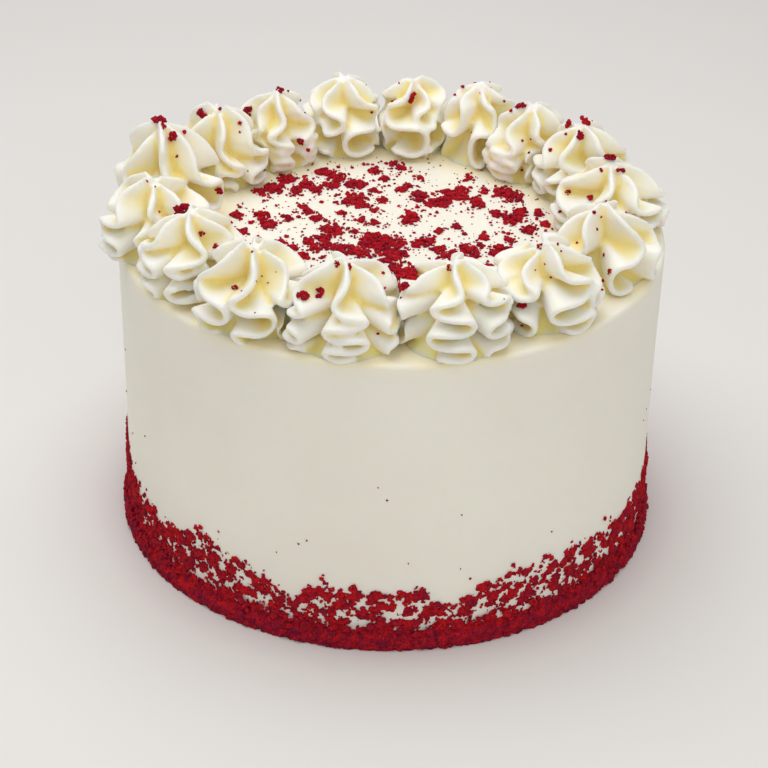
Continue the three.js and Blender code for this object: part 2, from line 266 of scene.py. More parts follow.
def make_piece(name, points_mm, faces, material):
    """Mesh object from points in millimetres, riding on the cake."""
    mesh = bpy.data.meshes.new(name)
    mesh.from_pydata((np.asarray(points_mm) * MM).tolist(), [], faces)
    mesh.validate()
    return finish_piece(bpy.data.objects.new(name, mesh), material)


def finish_piece(piece, material):
    if piece.name not in bpy.context.scene.objects:
        bpy.context.scene.collection.objects.link(piece)
    piece.data.materials.clear()
    piece.data.materials.append(material)
    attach(piece, BODY)
    return piece


def add_values(piece, name, values):
    """Stores one number for each point, for the material to read."""
    stored = piece.data.attributes.new(name, "FLOAT", "POINT")
    stored.data.foreach_set("value", np.asarray(values, dtype=np.float32))


def ring_faces(rings, around, closed=False):
    """Four-sided faces between rings of points; closed also joins the last to the first."""
    faces = []
    for ring in range(rings if closed else rings - 1):
        low = ring * around
        high = (ring + 1) % rings * around
        for side in range(around):
            after = (side + 1) % around
            faces.append((low + side, low + after, high + after, high + side))
    return faces


# ---- Materials --------------------------------------------------------------

# Sockets of the node that mixes two colours, by their place in it.
MIX_SHARE = 0
MIX_FIRST = 6
MIX_SECOND = 7
MIX_RESULT = 2


class Finish:
    """A node material that is put together step by step."""

    def __init__(self, name):
        self.material = bpy.data.materials.new(name)
        self.material.use_nodes = True
        self.tree = self.material.node_tree
        self.shader = self.tree.nodes["Principled BSDF"]

    def node(self, kind, **values):
        made = self.tree.nodes.new(kind)
        for socket, value in values.items():
            made.inputs[socket.replace("_", " ")].default_value = value
        return made

    def link(self, output, socket):
        self.tree.links.new(output, socket)

    def set(self, **values):
        for socket, value in values.items():
            self.shader.inputs[socket.replace("_", " ")].default_value = value

    def grain(self, scale, detail, stretch=(1.0, 1.0, 1.0)):
        """Fine uneven pattern fixed to the object, scale in patches per metre."""
        place = self.tree.nodes.new("ShaderNodeTexCoord")
        stretched = self.node("ShaderNodeMapping", Scale=stretch)
        pattern = self.node("ShaderNodeTexNoise", Scale=scale, Detail=detail)
        self.link(place.outputs["Object"], stretched.inputs["Vector"])
        self.link(stretched.outputs["Vector"], pattern.inputs["Vector"])
        return pattern.outputs["Fac"]

    def ramp(self, value, stops):
        """Colours along a value: each stop is a place from 0 to 1 and its colour."""
        shades = self.tree.nodes.new("ShaderNodeValToRGB")
        line = shades.color_ramp
        while len(line.elements) < len(stops):
            line.elements.new(0.5)
        for element, (place, tint) in zip(line.elements, stops):
            element.position = place
            element.color = (*tint, 1.0)
        self.link(value, shades.inputs["Fac"])
        return shades.outputs["Color"]

    def stored(self, name):
        """Number that each point of the piece carries."""
        reader = self.tree.nodes.new("ShaderNodeAttribute")
        reader.attribute_name = name
        return reader.outputs["Fac"]

    def mix(self, share, first, second, blend="MIX"):
        """Blends two colours, each of them a socket or a plain colour."""
        mixer = self.tree.nodes.new("ShaderNodeMix")
        mixer.data_type = "RGBA"
        mixer.blend_type = blend
        for value, socket in ((share, MIX_SHARE), (first, MIX_FIRST), (second, MIX_SECOND)):
            if isinstance(value, bpy.types.NodeSocket):
                self.link(value, mixer.inputs[socket])
            elif socket == MIX_SHARE:
                mixer.inputs[socket].default_value = value
            else:
                mixer.inputs[socket].default_value = (*value, 1.0)
        return mixer.outputs[MIX_RESULT]

    def bump(self, heights, distance, strength, under=None):
        """Fine relief, distance in metres, over the relief that lies under it."""
        relief = self.node("ShaderNodeBump", Strength=strength, Distance=distance)
        self.link(heights, relief.inputs["Height"])
        if under is not None:
            self.link(under, relief.inputs["Normal"])
        return relief.outputs["Normal"]

    def colour_from(self, output):
        self.link(output, self.shader.inputs["Base Color"])

    def rough_from(self, value, low, high):
        spread = self.node("ShaderNodeMapRange", To_Min=low, To_Max=high)
        self.link(value, spread.inputs["Value"])
        self.link(spread.outputs["Result"], self.shader.inputs["Roughness"])

    def normal_from(self, output):
        self.link(output, self.shader.inputs["Normal"])


def shade(base, factor):
    """A colour made lighter or darker."""
    return tuple(min(1.0, channel * factor) for channel in base)


def icing_finish(colours):
    """Satin icing drawn smooth with a spatula, with faint turning marks and pores, and a painted warm
    shade beside and under the dollops.
    """
    icing = Finish("smooth_icing")
    drift = icing.grain(14.0, 2.0)
    tint = icing.ramp(drift, ((0.3, shade(colours.icing, 0.965)), (0.7, shade(colours.icing, 1.03))))
    # Painted warm shade: the icing turns yellow where the dollops shade it.
    icing.colour_from(icing.mix(icing.stored("painted_icing_shade"), tint, tuple(colours.painted_icing_shade)))
    strokes = icing.grain(30.0, 2.0, (0.5, 0.5, 9.0))
    pores = icing.grain(900.0, 2.0)
    icing.rough_from(strokes, 0.42, 0.56)
    icing.normal_from(icing.bump(pores, 0.00003, 0.5, icing.bump(strokes, 0.00025, 0.35)))
    icing.set(Subsurface_Weight=0.35, Subsurface_Radius=(1.0, 0.72, 0.4), Subsurface_Scale=0.003)
    icing.set(Specular_IOR_Level=0.4)
    return icing.material


def cream_finish(colours):
    """Soft piped cream: pale on its ridges, with a painted warm shade down in its folds."""
    cream = Finish("ruffled_cream")
    drift = cream.grain(60.0, 2.0)
    pale = cream.ramp(drift, ((0.3, shade(colours.cream, 0.97)), (0.7, shade(colours.cream, 1.03))))
    # Painted warm shade: the cream turns yellow deep in its folds, against neighbours and at its foot.
    depth = cream.ramp(
        cream.stored("painted_fold_shade"), ((0.34, (0.0, 0.0, 0.0)), (0.95, (1.0, 1.0, 1.0)))
    )
    cream.colour_from(cream.mix(depth, pale, tuple(colours.painted_fold_shade)))
    drag = cream.grain(260.0, 3.0)
    pores = cream.grain(1100.0, 2.0)
    cream.rough_from(drag, 0.36, 0.52)
    cream.normal_from(cream.bump(pores, 0.00004, 0.5, cream.bump(drag, 0.00018, 0.4)))
    cream.set(Subsurface_Weight=0.7, Subsurface_Radius=(1.0, 0.74, 0.36), Subsurface_Scale=0.004)
    cream.set(Specular_IOR_Level=0.42)
    return cream.material


def crumb_finish(colours):
    """Moist open crumb: each one its own shade, with a torn surface."""
    crumb = Finish("velvet_crumb")
    own = crumb.ramp(
        crumb.stored("tone"),
        ((0.0, tuple(colours.crumb_dark)), (1.0, tuple(colours.crumb_bright))),
    )
    mottle = crumb.ramp(crumb.grain(1400.0, 3.0), ((0.3, (0.45,) * 3), (0.7, (1.25,) * 3)))
    crumb.colour_from(crumb.mix(1.0, own, mottle, "MULTIPLY"))
    torn = crumb.grain(2200.0, 3.0)
    crumb.rough_from(torn, 0.6, 0.92)
    crumb.normal_from(crumb.bump(torn, 0.0003, 0.8))
    crumb.set(Specular_IOR_Level=0.06)
    return crumb.material


def floor_finish(colours):
    floor = Finish("pale_floor")
    drift = floor.grain(3.0, 2.0)
    floor.colour_from(
        floor.ramp(drift, ((0.3, shade(colours.floor, 0.985)), (0.7, shade(colours.floor, 1.01))))
    )
    floor.set(Roughness=0.7, Specular_IOR_Level=0.25)
    return floor.material


def material_of(name, make):
    """Each finish is made once and shared by the pieces that wear it."""
    found = bpy.data.materials.get(name)
    return found if found else make(bpy.context.scene.cake_colours)


# ---- Iced body --------------------------------------------------------------


def iced_profile(radius, height, edge):
    """Reach and height up the wall, round the edge and in over the top."""
    wall_rows = 30
    edge_rows = 6
    top_rows = 26
    rows = [(radius, (height - edge) * row / wall_rows) for row in range(wall_rows + 1)]
    for row in range(1, edge_rows + 1):
        angle = math.radians(90.0 * row / edge_rows)
        rows.append((radius - edge + edge * math.cos(angle), height - edge + edge * math.sin(angle)))
    for row in range(1, top_rows):
        rows.append(((radius - edge) * (1.0 - row / top_rows), height))
    return rows


def painted_icing_shade(points, height):
    """Share of the painted warm shade on the icing: 0 in the open, and most beneath the dollops."""
    most = 0.85
    nearest = np.full(len(points), np.inf)
    for dollop in DOLLOPS:
        angle = math.radians(dollop.bearing)
        across = points[:, 0] - dollop.ring * math.cos(angle)
        along = points[:, 1] - dollop.ring * math.sin(angle)
        nearest = np.minimum(nearest, np.hypot(across, along) - dollop.radius)
    beneath = 1.0 - smoothstep(-2.0, 6.0, nearest)
    near_top = smoothstep(height - 3.0, height - 0.5, points[:, 2])
    return most * beneath * near_top


class CAKE_OT_ice_body(Operator):
    """Spread smooth icing over the wall and the top"""

    bl_idname = "cake.ice_body"
    bl_label = "Ice the cake"

    def execute(self, context):
        sizes = context.scene.cake_sizes
        around = 192
        strokes = 0.022            # patches of unevenness to each mm
        radius = sizes.wall_radius / MM
        height = sizes.cake_height / MM
        wall_end = height - 1.0    # above this the round edge stays true
        top_start = radius - 3.0   # outside this the top stays true
        rows = iced_profile(radius, height, sizes.edge_round / MM)
        uneven = sizes.unevenness / MM
        points = []
        for reach, level in rows:
            for side in range(around):
                angle = 2.0 * math.pi * side / around
                flat = Vector((reach * math.cos(angle), reach * math.sin(angle), level))
                wander = uneven * noise.noise(flat * strokes)
                outward = reach + (wander if level < wall_end else 0.0)
                lift = wander if reach < top_start else 0.0
                points.append((outward * math.cos(angle), outward * math.sin(angle), level + lift))
        faces = ring_faces(len(rows), around)
        faces.append(tuple(reversed(range(around))))
        last = (len(rows) - 1) * around
        points.append((0.0, 0.0, height))
        for side in range(around):
            faces.append((last + side, last + (side + 1) % around, len(points) - 1))
        icing = make_piece("icing", points, faces, material_of("smooth_icing", icing_finish))
        # Stores the share of painted warm shade for each point of the icing.
        add_values(icing, "painted_icing_shade", painted_icing_shade(np.array(points), height))
        icing.data.shade_smooth()
        icing.data.set_sharp_from_angle(angle=math.radians(60.0))
        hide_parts("cake")
        return {"FINISHED"}


# ---- Dollops ----------------------------------------------------------------


def rib_reach(rise):
    """Reach of a rib's edge over the dollop's radius: full low down, drawn in to the peak."""
    shoulder = 0.2
    low = 0.7 + 0.3 * np.sin(np.pi / 2.0 * np.clip(rise / shoulder, 0.0, 1.0)) ** 0.6
    above = np.clip((rise - shoulder) / (1.0 - shoulder), 0.0, 1.0)
    high = np.power(np.clip(1.0 - np.power(above, 2.5), 0.0, 1.0), 0.66)
    return np.where(rise < shoulder, low, high)


def rib_sheet(dollop, number, rib, overlap, delay):
    """Folded sheet of one rib, from the dollop's middle out to its edge, without thickness.

    With it come how far in from the edge each column lies, and for each level the share
    of the height, the reach of the edge, and how far the folds give way to the peak.
    """
    draw = seeded_draws(number * 101 + rib * 17 + 5)
    folds = dollop.folds * (0.92 + 0.16 * draw())
    late = delay * (draw() - 0.5)
    swing = dollop.swing * (0.8 + 0.4 * draw())
    size = 0.91 + 0.15 * draw()
    offset = 0.34 * (draw() - 0.5)
    tall = 0.9 + 0.14 * draw()
    roof = dollop.roof
    levels = 130
    across = 12
    fold_rows = 0.66           # share of the levels that the folds take up
    peak_rows = 0.34           # share that is left for the peak
    climb = np.linspace(0.0, 1.0, levels + 1)
    in_folds = climb / fold_rows * roof
    in_peak = roof + (climb - fold_rows) / peak_rows * (1.0 - roof)
    rise = np.where(climb < fold_rows, in_folds, in_peak)
    folded = 1.0 - smoothstep(roof * 0.62, roof, rise)
    swaying = (1.0 - smoothstep(roof * 0.8, 1.0, rise)) * (0.4 + 0.6 * smoothstep(0.0, 0.15, rise))
    straight = 1.0 - folded
    swings = np.where(rise < roof, rise / roof, 1.0 + PEAK_DRIFT * (rise / roof - 1.0))
    phase = math.radians(dollop.start) + late + 2.0 * np.pi * folds * swings
    step = dollop.height * roof / (2.0 * np.pi * folds)
    level = dollop.height * rise * (1.0 + (tall - 1.0) * straight)
    # Twice in each swing the rib climbs slower and then faster, so that its folds overlap.
    level = level - overlap * step * folded * np.sin(2.0 * phase)
    reach = dollop.radius * size * rib_reach(rise) * (1.0 + 0.04 * folded * np.cos(2.0 * phase + 1.0))
    reach = np.sqrt(reach ** 2 + (dollop.split * straight) ** 2)
    angle = math.radians(dollop.turn) + 2.0 * np.pi * rib / RIBS + offset
    angle = angle + swing * swaying * np.sin(phase) / (0.55 * dollop.radius + 0.45 * reach)
    out = 0.04 + 0.96 * np.linspace(0.0, 1.0, across + 1)
    inward = 1.0 - out[None, :]
    # The folds slope down to their edges. Between the rib ends the peak stands up or dips.
    droop = 2.5 * folded * np.minimum(1.0, rise / 0.15)
    crown = (2.0 - 1.25 * dollop.split) * straight
    sheet = np.stack([
        reach[:, None] * out * np.cos(angle)[:, None],
        reach[:, None] * out * np.sin(angle)[:, None],
        level[:, None] + (droop + crown)[:, None] * inward,
    ], -1)
    return sheet, inward, rise, reach, straight


def rib_skin(dollop, number, rib, sizes):
    """Closed skin of one rib: its sheet, thicker towards the middle, with a round lip."""
    sheet, inward, rise, reach, straight = rib_sheet(dollop, number, rib, sizes.overlap, sizes.delay)
    upward = np.gradient(sheet, axis=0)
    outward = np.gradient(sheet, axis=1)
    side = unit(np.cross(upward, outward))
    lip = sizes.lip / MM * np.clip((1.03 - rise) / 0.14, 0.5, 1.0)
    root = 0.5 + (dollop.flank - 0.5) * straight
    root = root * np.clip(reach / (0.75 * dollop.radius), 0.12, 1.0)
    half = lip[:, None] + root[:, None] * inward ** 1.3
    left = sheet + side * half[..., None]
    right = sheet - side * half[..., None]
    edge = sheet[:, -1]
    beyond = unit(outward[:, -1])
    round_lip = []
    for degrees in (60, 30, 0, -30, -60):
        turn = math.radians(degrees)
        tilt = side[:, -1] * math.sin(turn) + beyond * math.cos(turn)
        round_lip.append(edge + tilt * half[:, -1:])
    loops = np.concatenate([left, np.stack(round_lip, 1), right[:, ::-1]], 1)
    return loft(loops)


def loft(loops):
    """Closed skin over a stack of loops with the same number of points."""
    count, around = loops.shape[:2]
    faces = ring_faces(count, around)
    faces.append(tuple(reversed(range(around))))
    faces.append(tuple((count - 1) * around + side for side in range(around)))
    return loops.reshape(-1, 3), faces


def dollop_core(dollop):
    """Cone of cream that the ribs stand round."""
    sides = np.radians(np.arange(0, 360, 10))
    loops = []
    for share in np.linspace(0.0, 1.0, 25):
        rise = 0.86 * share
        cone = max(0.02, 1.0 - rise ** 0.9 - 0.04 * share)
        reach = dollop.radius * (0.48 * cone + 0.32 * math.exp(-rise / 0.14))
        level = np.full_like(sides, dollop.height * rise)
        loops.append(np.stack([reach * np.cos(sides), reach * np.sin(sides), level], 1))
    return loft(np.array(loops))


def share_ring(number):
    """Angles from a dollop to the planes it shares with the one before and the one after."""
    dollop = DOLLOPS[number]

    def room(other):
        apart = abs((other.bearing - dollop.bearing + 540.0) % 360.0 - 180.0)
        return math.radians(apart * dollop.radius / (dollop.radius + other.radius))

    return room(DOLLOPS[number - 1]), room(DOLLOPS[(number + 1) % len(DOLLOPS)])


def seam(number, reach, level):
    """How far the seam after a dollop wanders from a flat plane, in radians."""
    start = 2.1 * (number % len(DOLLOPS))
    upward = 0.022 * np.sin(0.33 * level + 0.11 * reach + start)
    outward = 0.012 * np.sin(0.3 * reach - start)
    return upward + outward


def press_into_ring(points, number):
    """Squeezes a dollop into its share of the ring and sets it in place on the cake."""
    dollop = DOLLOPS[number]
    before, after = share_ring(number)
    away = dollop.ring + points[:, 0] + dollop.lean * (points[:, 2] / dollop.height) ** 2
    reach = np.hypot(away, points[:, 1])
    along = np.arctan2(points[:, 1], away)
    before = before - seam(number - 1, reach, points[:, 2])
    after = after + seam(number, reach, points[:, 2])
    room = np.where(along < 0.0, before, after) - DOLLOP_GAP / reach
    share = np.abs(along) / room
    soft = 0.72                # share of the room that a dollop fills before it is squeezed
    squeezed = soft + (1.0 - soft) * np.tanh((share - soft) / (1.0 - soft))
    pressed = np.where(share < soft, share, squeezed)
    angle = math.radians(dollop.bearing) + np.sign(along) * pressed * room
    level = np.maximum(points[:, 2], 0.0) + CAKE_HEIGHT - DOLLOP_SINK
    return np.stack([reach * np.cos(angle), reach * np.sin(angle), level], 1)


def drop_scraps(mesh):
    """Deletes specks of cream that came loose when the ribs were joined."""
    shape = bmesh.new()
    shape.from_mesh(mesh)
    unseen = set(shape.verts)
    parts = []
    while unseen:
        part = [unseen.pop()]
        for corner in part:
            for edge in corner.link_edges:
                other = edge.other_vert(corner)
                if other in unseen:
                    unseen.remove(other)
                    part.append(other)
        parts.append(part)
    parts.sort(key=len)
    for part in parts[:-1]:
        bmesh.ops.delete(shape, geom=part, context="VERTS")
    shape.to_mesh(mesh)
    shape.free()


def hollows(mesh, number):
    """Share of painted warm shade at each point: how deep it lies in a fold, against a neighbour or at
    its foot; 0.5 is level, 1 deep.
    """
    rounds = 50                # times that the skin is evened out
    fold_depth = 2.4 * MM      # half this far under the evened skin is fully deep
    count = len(mesh.vertices)
    points = np.empty(count * 3)
    normals = np.empty(count * 3)
    ends = np.empty(len(mesh.edges) * 2, dtype=np.int64)
    mesh.vertices.foreach_get("co", points)
    mesh.vertex_normals.foreach_get("vector", normals)
    mesh.edges.foreach_get("vertices", ends)
    points = points.reshape(-1, 3)
    first, second = ends[::2], ends[1::2]
    degree = np.maximum(np.bincount(ends, minlength=count), 1)
    level = points.copy()
    for _ in range(rounds):
        for axis in range(3):
            around = np.bincount(first, weights=level[second, axis], minlength=count)
            around += np.bincount(second, weights=level[first, axis], minlength=count)
            level[:, axis] = 0.4 * level[:, axis] + 0.6 * around / degree
    depth = ((level - points) * normals.reshape(-1, 3)).sum(1)
    before, after = share_ring(number)
    bearing = np.arctan2(points[:, 1], points[:, 0]) - math.radians(DOLLOPS[number].bearing)
    bearing = (bearing + np.pi) % (2.0 * np.pi) - np.pi
    share = np.abs(bearing) / np.where(bearing < 0.0, before, after)
    height = points[:, 2] / MM - CAKE_HEIGHT
    # Painted shade where a dollop presses against its neighbours, and low down at its foot.
    neighbour_shade = smoothstep(0.72, 0.98, share) * (1.0 - smoothstep(8.0, 24.0, height))
    foot = 1.0 - smoothstep(0.0, 6.0, height)
    return np.clip(0.5 + depth / fold_depth + 0.4 * neighbour_shade + 0.32 * foot, 0.0, 1.0)


def melt_skins(piece, grain):
    """Joins a dollop's overlapping skins into one smooth skin."""
    rough = piece.data
    join = piece.modifiers.new("join", "REMESH")
    join.mode = "VOXEL"
    join.voxel_size = grain
    soften = piece.modifiers.new("soften", "SMOOTH")
    soften.factor = 0.5
    soften.iterations = 3
    seen = piece.evaluated_get(bpy.context.evaluated_depsgraph_get())
    joined = bpy.data.meshes.new_from_object(seen)
    piece.modifiers.clear()
    piece.data = joined
    bpy.data.meshes.remove(rough)
    joined.name = piece.name
    drop_scraps(joined)
    joined.shade_smooth()


class CAKE_OT_pipe_dollops(Operator):
    """Pipe the ring of ruffled dollops on the rim"""

    bl_idname = "cake.pipe_dollops"
    bl_label = "Pipe the dollops"

    def execute(self, context):
        sizes = context.scene.dollop_sizes
        cream = material_of("ruffled_cream", cream_finish)
        for number in range(len(DOLLOPS)):
            piece = self.pipe(number, sizes)
            # Stores the share of painted warm shade for the cream to read.
            add_values(piece, "painted_fold_shade", hollows(piece.data, number))
            finish_piece(piece, cream)
            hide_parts(f"dollop_{number + 1:02d}")
        return {"FINISHED"}

    def pipe(self, number, sizes):
        """One dollop: a core and its ribs, melted together."""
        dollop = DOLLOPS[number]
        name = f"piped_dollop_{number + 1:02d}"
        skins = [dollop_core(dollop)]
        skins += [rib_skin(dollop, number + 1, rib, sizes) for rib in range(RIBS)]
        points = []
        faces = []
        for skin, skin_faces in skins:
            base = sum(len(part) for part in points)
            points.append(skin)
            faces.extend([[base + corner for corner in face] for face in skin_faces])
        placed = press_into_ring(np.concatenate(points), number)
        rough = bpy.data.meshes.new(name)
        rough.from_pydata((placed * MM).tolist(), [], faces)
        piece = bpy.data.objects.new(name, rough)
        bpy.context.scene.collection.objects.link(piece)
        melt_skins(piece, sizes.grain)
        return piece


# ---- Crumbs -----------------------------------------------------------------


def ball(steps):
    """Points and faces of a round ball of radius 1, to be torn into a crumb."""
    shape = bmesh.new()
    bmesh.ops.create_icosphere(shape, subdivisions=steps, radius=1.0)
    points = np.array([corner.co[:] for corner in shape.verts])
    faces = np.array([[corner.index for corner in face.verts] for face in shape.faces])
    shape.free()
    return points, faces


CRUMB_SINK = 0.3           # share of a crumb's height that is sunk into what carries it
CRUMB_FLATTEN = 0.72       # height of a crumb over its width


class CrumbHeap:
    """Collects crumbs for one piece: where each lies, which way is out, its radius and tone."""

    def __init__(self, seed):
        self.chance = np.random.default_rng(seed)
        self.rows = []

    def add(self, place, out, radius, tone):
        self.rows.append((*place, *out, radius, tone))

    def clump(self, place, out, radius, count, tone):
        """A cluster of crumbs that stick together, heaped on one spot."""
        out = Vector(out)
        across = out.orthogonal().normalized()
        along = out.cross(across)
        for _ in range(count):
            turn = 2.0 * math.pi * self.chance.random()
            away = radius * math.sqrt(self.chance.random()) * 0.85
            size = radius * (0.24 + 0.24 * self.chance.random())
            lift = (0.15 + 0.75 * self.chance.random()) * max(0.0, radius * 0.75 - 0.7 * away)
            spot = Vector(place) + across * (away * math.cos(turn)) + along * (away * math.sin(turn))
            self.add(spot + out * lift, out, size, tone + 0.3 * (self.chance.random() - 0.5))

    def build(self, name, fine):
        """Tears balls into crumbs, more finely from the radius fine up, and joins them."""
        rows = np.array(self.rows)
        points = []
        faces = []
        tones = []
        base = 0
        for steps, chosen in ((1, rows[:, 6] < fine), (2, rows[:, 6] >= fine)):
            part = rows[chosen]
            if not len(part):
                continue
            shape, shape_faces = ball(steps)
            count = len(part)
            torn = 0.66 + 0.6 * self.chance.random((count, len(shape), 1))
            stretch = 0.72 + 0.56 * self.chance.random((count, 1, 3))
            lumps = shape[None] * torn * stretch
            lumps = np.einsum("nij,nkj->nki", self.turns(count), lumps)
            lumps[..., 2] *= CRUMB_FLATTEN
            lumps *= part[:, 6][:, None, None]
            out = part[:, 3:6]
            sideways = np.abs(out[:, 2:]) < 0.9
            across = unit(np.cross(out, np.where(sideways, UP, (1.0, 0.0, 0.0))))
            along = np.cross(out, across)
            basis = np.stack([across, along, out], 1)
            lumps = np.einsum("nkj,nji->nki", lumps, basis)
            stand = part[:, 6] * CRUMB_FLATTEN * (1.0 - 2.0 * CRUMB_SINK)
            lumps += (part[:, :3] + out * stand[:, None])[:, None]
            points.append(lumps.reshape(-1, 3))
            starts = base + np.arange(count) * len(shape)
            faces.append((shape_faces[None] + starts[:, None, None]).reshape(-1, 3))
            base += count * len(shape)
            each = part[:, 7][:, None] + 0.16 * (self.chance.random((count, len(shape))) - 0.5)
            tones.append(each.reshape(-1))
        points = np.concatenate(points)
        points[:, 2] = np.maximum(points[:, 2], 0.0)
        finish = material_of("velvet_crumb", crumb_finish)
        piece = make_piece(name, points, np.concatenate(faces).tolist(), finish)
        add_values(piece, "tone", np.clip(np.concatenate(tones), 0.0, 1.0))

    def turns(self, count):
        """Random rotations, one for each crumb."""
        quarter = unit(self.chance.normal(size=(count, 4)))
        w, x, y, z = quarter.T
        return np.stack([
            np.stack([1 - 2 * (y * y + z * z), 2 * (x * y - z * w), 2 * (x * z + y * w)], 1),
            np.stack([2 * (x * y + z * w), 1 - 2 * (x * x + z * z), 2 * (y * z - x * w)], 1),
            np.stack([2 * (x * z - y * w), 2 * (y * z + x * w), 1 - 2 * (x * x + y * y)], 1),
        ], 1)


def band_top(bearing):
    """Height in mm of the ragged upper edge of the crumbs at a bearing in degrees."""
    bearings = [row[0] for row in BAND_TOPS]
    heights = [row[1] for row in BAND_TOPS]
    return float(np.interp(bearing % 360.0, bearings, heights, period=360.0))


NET_START = 0.7            # share of the solid band's height from which gaps begin

# Patches in the net of crumbs: their width in mm, their weight, and a shift in the pattern.
FOOT_PATCHES = ((4.4, 0.8, (0.0, 0.0, 0.0)), (1.7, 0.6, (9.0, 9.0, 9.0)), (0.95, 0.5, (0.0, 40.0, 0.0)))


def packed_lump(spot, cell):
    """Height and own tone, each 0 to 1, of the round lump, cell mm across, at a spot in mm."""
    distances, middles = noise.voronoi(spot / cell, distance_metric="DISTANCE")
    return max(0.0, 1.0 - 1.25 * distances[0]) ** 0.6, 0.5 + 0.5 * noise.cell(middles[0] * 57.0)


def foot_cover(spot, limit, band):
    """How firmly crumbs cover a spot on the wall: above 0 they do, and there are gaps below 0."""
    cover = 0.02
    share = (spot.z - band * NET_START) / (limit - band * NET_START)
    patch = 0.0
    for width, weight, shift in FOOT_PATCHES:
        patch += weight * noise.noise(spot / width + Vector(shift))
    thinning = 3.0 * max(0.0, share - 0.93)
    filling = 2.0 * max(0.0, -share)
    return patch + cover - thinning + filling


class CAKE_OT_crumb_foot(Operator):
    """Press crumbs round the foot of the wall, solid below and patchy above"""

    bl_idname = "cake.crumb_foot"
    bl_label = "Crumb the foot"

    def execute(self, context):
        sizes = context.scene.crumb_sizes
        radius = context.scene.cake_sizes.wall_radius / MM
        band = sizes.band_height / MM
        thick = sizes.band_thickness / MM
        self.press_band(radius, band, thick)
        self.strew_band(radius, band, thick, sizes.band_count)
        self.strew_net(radius, band, sizes.foot_count)
        return {"FINISHED"}

    def strew_band(self, radius, band, thick, tries):
        """Single crumbs that stand out of the solid band."""
        heap = CrumbHeap(seed=71)
        chance = heap.chance
        for _ in range(tries):
            angle = 2.0 * math.pi * chance.random()
            height = band * 1.1 * chance.random()
            out = (math.cos(angle), math.sin(angle), 0.0)
            stand = radius + thick * (0.75 - 0.45 * height / band)
            size = 0.7 + 0.9 * chance.random() ** 2
            # Random tone, with painted shade that darkens the crumbs lower on the band.
            tone = 0.1 + 0.5 * chance.random() + 0.2 * height / band
            heap.add((stand * out[0], stand * out[1], max(height, size * 0.5)), out, size, tone)
        heap.build("band_crumbs", fine=1.2)

    def strew_net(self, radius, band, tries):
        """Single crumbs that follow the net, and a few that reach past its upper edge."""
        past_edge = 5.0
        lowest = band * NET_START
        heap = CrumbHeap(seed=72)
        chance = heap.chance
        for _ in range(tries):
            bearing = 360.0 * chance.random()
            limit = band_top(bearing)
            height = lowest + (limit + past_edge - lowest) * chance.random()
            angle = math.radians(bearing)
            out = Vector((math.cos(angle), math.sin(angle), 0.0))
            spot = out * radius + Vector((0.0, 0.0, height))
            cover = foot_cover(spot, limit, band)
            if cover < -0.28 * chance.random() ** 1.7:
                continue
            size = 0.45 + 0.85 * chance.random() ** 2.0
            tone = 0.2 + 0.8 * chance.random()
            stand = radius + min(0.8, 2.0 * max(0.0, cover)) * chance.random()
            heap.add((stand * out.x, stand * out.y, height), out, size, tone)
        heap.build("foot_crumbs", fine=1.0)

    def press_band(self, radius, band, thick):
        """Layer of packed crumbs, solid low down and torn into a net higher up."""
        around = 860
        rows = 50
        top = 41.0                 # height of the layer's upper rim, mm
        root = radius - 3.0        # the layer's hidden inner side, mm
        large_width = 2.6
        small_width = 1.5
        aside = Vector((50.0, 0.0, 0.0))
        points = []
        tones = []
        chance = np.random.default_rng(73)
        for row in range(rows + 1):
            height = top * row / rows
            for side in range(around):
                bearing = 360.0 * side / around
                angle = math.radians(bearing)
                out = Vector((math.cos(angle), math.sin(angle), 0.0))
                spot = out * radius + Vector((0.0, 0.0, height))
                cover = foot_cover(spot, band_top(bearing), band)
                solid = 1.0 - float(smoothstep(band * 0.35, band * 0.95, height))
                large, large_tone = packed_lump(spot, large_width)
                small, small_tone = packed_lump(spot + aside, small_width)
                lumps = 0.75 * large + 0.45 * small
                layer = min(0.9, max(-1.0, 4.0 * (cover - 0.1))) + 0.7 * lumps
                packed = thick * 0.5 + 1.9 * lumps
                stand = layer + (packed - layer) * solid
                points.append((*(out * (radius + stand))[:2], height))
                own = 0.35 * large_tone + 0.45 * small_tone + 0.2 * chance.random()
                # Random tone for each lump, with painted shade that darkens the solid band low down by
                # the floor.
                tones.append(0.68 + 1.7 * (own - 0.5) - 0.3 * solid)
        for level in (top, 0.0):
            for side in range(around):
                angle = 2.0 * math.pi * side / around
                points.append((root * math.cos(angle), root * math.sin(angle), level))
                tones.append(0.2)
        faces = ring_faces(len(points) // around, around, closed=True)
        finish = material_of("velvet_crumb", crumb_finish)
        piece = make_piece("crumb_band", points, faces, finish)
        piece.data.shade_smooth()
        add_values(piece, "tone", tones)


